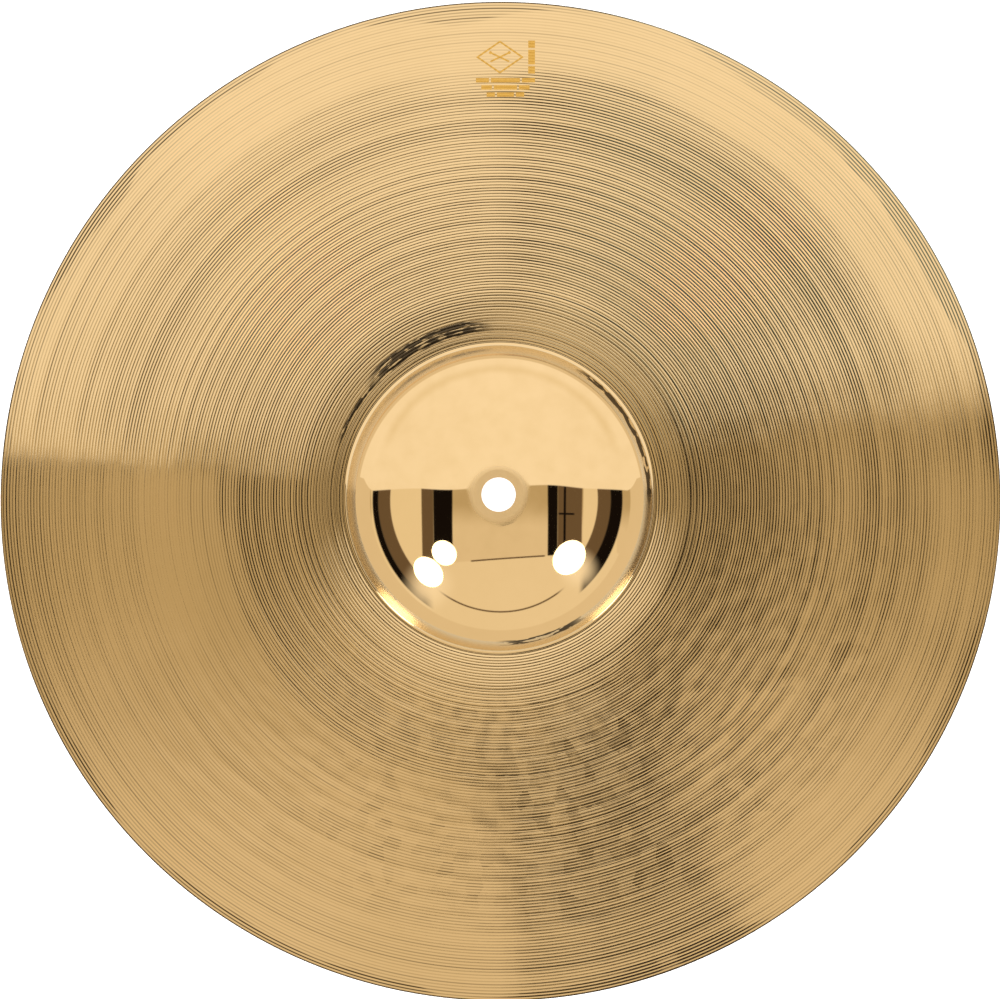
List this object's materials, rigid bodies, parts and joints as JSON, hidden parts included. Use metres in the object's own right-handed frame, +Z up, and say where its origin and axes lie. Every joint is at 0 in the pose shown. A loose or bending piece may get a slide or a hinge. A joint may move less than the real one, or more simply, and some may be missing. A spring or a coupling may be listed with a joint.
{
  "type": "crash cymbal",
  "caption": "Round dished cymbal of lathed bronze with a polished bell, a plain centre hole and a small printed mark near the rim.",
  "frame": {"origin": "on the axis of the centre hole, in the plane that the rim rests on", "axes": "+Z up through the bell along the hole's axis; +Y from the hole towards the printed mark"},
  "size_m": [0.3556, 0.3556, 0.0371],
  "materials": {
    "bronze": "fine lathe grooves on the bow, mirror polish on the bell",
    "ink": "thin ochre screen-printed ink"
  },
  "bodies": {
    "root": {"cymbal": "bronze", "ink_emblem": "ink", "ink_side_dashes": "ink", "ink_rows": "ink"}
  },
  "joints": []
}
